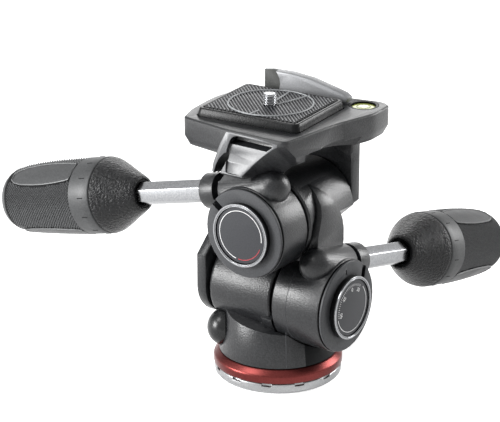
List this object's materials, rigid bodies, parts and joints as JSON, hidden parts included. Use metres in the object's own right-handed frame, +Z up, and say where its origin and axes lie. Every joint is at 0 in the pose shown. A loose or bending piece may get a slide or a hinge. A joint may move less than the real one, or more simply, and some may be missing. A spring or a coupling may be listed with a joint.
{
  "type": "three way pan tilt head",
  "caption": "Camera head for a tripod: a pan base, a tilt fork and a roll platform, each with its own lock, two sliding grips and a quick release plate.",
  "frame": {"origin": "centre of the base disc's underside, on the pan axis", "axes": "+Z up along the pan axis, +X along the tilt axis to the dial's side, -Y to the side of the roll clamp's badge"},
  "size_m": [0.1907, 0.1843, 0.1363],
  "materials": {
    "body_black": "satin, lightly grained",
    "bright_ring": "polished",
    "dial_grey": "satin print",
    "base_aluminium": "turned",
    "ring_red": "anodised red",
    "steel": "plain",
    "brass": "turned",
    "rod_chrome": "satin",
    "cone_black": "coarse grain",
    "plain_black": "satin",
    "sleeve_rubber": "fine diamond knurl",
    "bearing_plastic": "plain",
    "lever_grey": "satin grey",
    "plate_black": "satin",
    "pad_rubber": "fine ridges",
    "level_vial": "clear yellow-green"
  },
  "bodies": {
    "base": {"base_disc": "base_aluminium", "base_ring": "ring_red", "thread_bush": "brass", "pan_spindle": "steel", "pan_washer": "steel", "pan_screw": "steel"},
    "pan_body": {"pan_housing": "body_black", "pan_bush": "bearing_plastic", "tilt_shaft": "steel", "tilt_dial_ring": "bright_ring", "tilt_dial_plate": "dial_grey", "tilt_shaft_nut": "steel", "pan_brake_shoe": "bearing_plastic"},
    "pan_knob": {"pan_knob": "plain_black", "pan_knob_stud": "steel"},
    "tilt_body": {"tilt_fork": "body_black", "tilt_clamp_nut": "steel", "tilt_arm_bush": "bearing_plastic", "tilt_arm_cover": "plain_black", "roll_shaft": "steel", "roll_shaft_nut": "steel", "roll_badge_ring": "bright_ring", "roll_badge_plate": "dial_grey"},
    "tilt_handle": {"tilt_rod": "rod_chrome"},
    "tilt_grip": {"tilt_grip_cone": "cone_black", "tilt_grip_collet": "plain_black", "tilt_grip_core": "plain_black"},
    "tilt_sleeve": {"tilt_grip_sleeve": "sleeve_rubber"},
    "roll_body": {"platform": "body_black", "roll_clamp_nut": "steel", "roll_leg_bush": "bearing_plastic", "roll_leg_cover": "plain_black", "level_housing": "plain_black", "level_vial": "level_vial", "lever_pin": "steel"},
    "roll_handle": {"roll_rod": "rod_chrome"},
    "roll_grip": {"roll_grip_cone": "cone_black", "roll_grip_collet": "plain_black", "roll_grip_core": "plain_black"},
    "roll_sleeve": {"roll_grip_sleeve": "sleeve_rubber"},
    "release_lever": {"release_lever": "lever_grey"},
    "quick_plate": {"quick_plate": "plate_black", "plate_pad": "pad_rubber"},
    "camera_screw": {"camera_screw": "bright_ring"}
  },
  "joints": [
    {"name": "pan", "type": "hinge", "parent": "base", "child": "pan_body", "pos_m": [0, 0, 0.02], "axis": [0, 0, 1], "continuous": true},
    {"name": "pan_lock", "type": "hinge", "parent": "pan_body", "child": "pan_knob", "pos_m": [0, 0, 0.0215], "axis": [-0.8089, -0.5879, 0], "range_deg": [0, 360]},
    {"name": "tilt", "type": "hinge", "parent": "pan_body", "child": "tilt_body", "pos_m": [0, 0, 0.0414], "axis": [1, 0, 0], "range_deg": [-30, 60]},
    {"name": "tilt_lock", "type": "hinge", "parent": "tilt_body", "child": "tilt_handle", "pos_m": [0.028, 0.00407, 0.05904], "axis": [0, 0.9744, -0.225], "range_deg": [0, 360]},
    {"name": "tilt_grip_slide", "type": "slide", "parent": "tilt_handle", "child": "tilt_grip", "axis": [0, 0.9744, -0.225], "range_m": [-0.02, 0]},
    {"name": "tilt_grip_lock", "type": "hinge", "parent": "tilt_grip", "child": "tilt_sleeve", "pos_m": [0.028, 0.00407, 0.05904], "axis": [0, 0.9744, -0.225], "range_deg": [0, 90]},
    {"name": "roll", "type": "hinge", "parent": "tilt_body", "child": "roll_body", "pos_m": [0.004, 0, 0.0793], "axis": [0, 1, 0], "range_deg": [-30, 90]},
    {"name": "roll_lock", "type": "hinge", "parent": "roll_body", "child": "roll_handle", "pos_m": [-0.00038, -0.022, 0.09686], "axis": [-0.9703, 0, -0.2419], "range_deg": [0, 360]},
    {"name": "roll_grip_slide", "type": "slide", "parent": "roll_handle", "child": "roll_grip", "axis": [-0.9703, 0, -0.2419], "range_m": [-0.02, 0]},
    {"name": "roll_grip_lock", "type": "hinge", "parent": "roll_grip", "child": "roll_sleeve", "pos_m": [-0.00038, -0.022, 0.09686], "axis": [-0.9703, 0, -0.2419], "range_deg": [0, 90]},
    {"name": "lever_turn", "type": "hinge", "parent": "roll_body", "child": "release_lever", "pos_m": [0.011, 0.0338, 0.126], "axis": [0, 0, -1], "range_deg": [0, 60]},
    {"name": "plate_lift", "type": "slide", "parent": "roll_body", "child": "quick_plate", "axis": [0, 0, 1], "range_m": [0, 0.012]},
    {"name": "camera_screw_turn", "type": "hinge", "parent": "quick_plate", "child": "camera_screw", "pos_m": [-0.006, 0.0009, 0.128], "axis": [0, 0, 1], "continuous": true}
  ]
}
